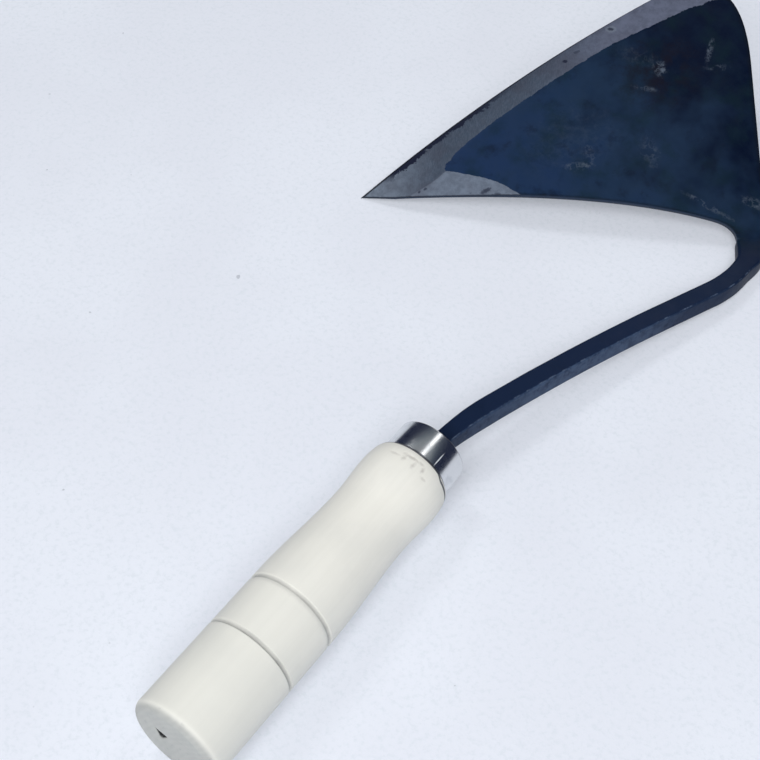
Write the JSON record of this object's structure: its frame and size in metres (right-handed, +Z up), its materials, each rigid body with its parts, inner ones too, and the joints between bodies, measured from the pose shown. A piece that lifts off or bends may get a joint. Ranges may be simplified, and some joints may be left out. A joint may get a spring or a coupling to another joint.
{
  "type": "hand hoe",
  "caption": "Short-handled digging hoe with a turned wooden grip, a steel ferrule and a forged square shank that turns back into a bowed triangular blade.",
  "frame": {"origin": "centre of the flat butt face of the handle, on the handle's axis", "axes": "+Y along the handle's axis from the butt to the blade, +Z up as the hoe lies on a floor on its handle, bend and point, +X to the right; the floor is the plane z = -0.016"},
  "size_m": [0.1486, 0.3688, 0.0538],
  "materials": {
    "forged_steel": "dark forge scale with ground grey bevels",
    "ferrule_steel": "polished",
    "handle_wood": "bare, sanded smooth"
  },
  "bodies": {
    "root": {"head": "forged_steel", "ferrule": "ferrule_steel", "handle": "handle_wood"}
  },
  "joints": []
}
